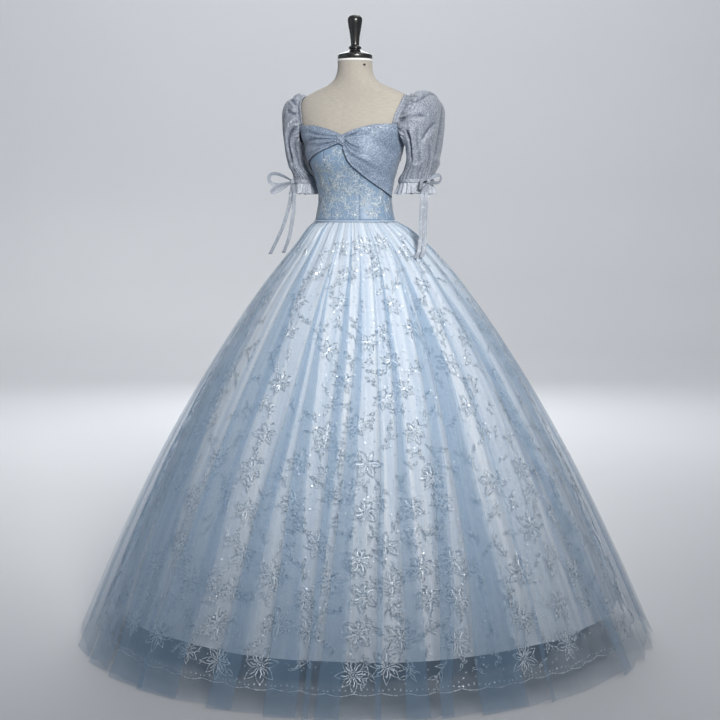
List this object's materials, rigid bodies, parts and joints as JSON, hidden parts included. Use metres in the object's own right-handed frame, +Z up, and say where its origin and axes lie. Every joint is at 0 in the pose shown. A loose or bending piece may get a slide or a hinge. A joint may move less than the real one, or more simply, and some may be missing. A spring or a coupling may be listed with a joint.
{
  "type": "ball gown on limbless dress form",
  "caption": "Floor-length ball gown with puff sleeves, crossed bust drape, bow-tied cuffs and a sheer embroidered layered skirt, worn by a dress form on a pole stand.",
  "frame": {"origin": "on the floor in the middle of the skirt's hem", "axes": "+Z up, +X to the wearer's left, the front towards -Y"},
  "size_m": [1.6142, 1.6155, 1.6909],
  "materials": {
    "form_linen": "plain woven linen cover, matt",
    "black_lacquer": "turned and lacquered, glossy",
    "brushed_pole": "brushed tube",
    "base_iron": "black painted plate",
    "embroidered_bodice": "blue net over satin with silver thread flowers and vines",
    "glitter_mesh": "grey-blue soft mesh with fine glitter",
    "plain_tulle": "sheer dusty-blue tulle, even net",
    "embroidered_tulle": "sheer pale tulle with silver corded flowers and sequins",
    "satin_lining": "pale blue-white satin, soft sheen"
  },
  "bodies": {
    "root": {"form_torso": "form_linen", "form_neck_cap": "black_lacquer", "form_pole": "brushed_pole", "form_base": "base_iron", "bodice_center_front": "embroidered_bodice", "bodice_side_front_left": "embroidered_bodice", "bodice_side_front_right": "embroidered_bodice", "bodice_back_left": "embroidered_bodice", "bodice_back_right": "embroidered_bodice", "drape_left": "glitter_mesh", "drape_right": "glitter_mesh", "drape_knot": "glitter_mesh", "strap_left": "glitter_mesh", "strap_right": "glitter_mesh", "sleeve_left": "glitter_mesh", "sleeve_right": "glitter_mesh", "cuff_frill_left": "glitter_mesh", "cuff_frill_right": "glitter_mesh", "tie_band_left": "glitter_mesh", "tie_band_right": "glitter_mesh", "bow_knot_left": "glitter_mesh", "bow_knot_right": "glitter_mesh", "bow_loop_left_back": "glitter_mesh", "bow_loop_left_front": "glitter_mesh", "bow_loop_right_upper": "glitter_mesh", "bow_loop_right_lower": "glitter_mesh", "tie_tail_left_outer": "glitter_mesh", "tie_tail_left_inner": "glitter_mesh", "tie_tail_right_outer": "glitter_mesh", "tie_tail_right_inner": "glitter_mesh", "skirt_tulle_front_left": "plain_tulle", "skirt_tulle_front_right": "plain_tulle", "skirt_tulle_back_left": "plain_tulle", "skirt_tulle_back_right": "plain_tulle", "skirt_embroidered_left": "embroidered_tulle", "skirt_embroidered_right": "embroidered_tulle", "skirt_lining_front_left": "satin_lining", "skirt_lining_front_right": "satin_lining", "skirt_lining_back_left": "satin_lining", "skirt_lining_back_right": "satin_lining"}
  },
  "joints": []
}
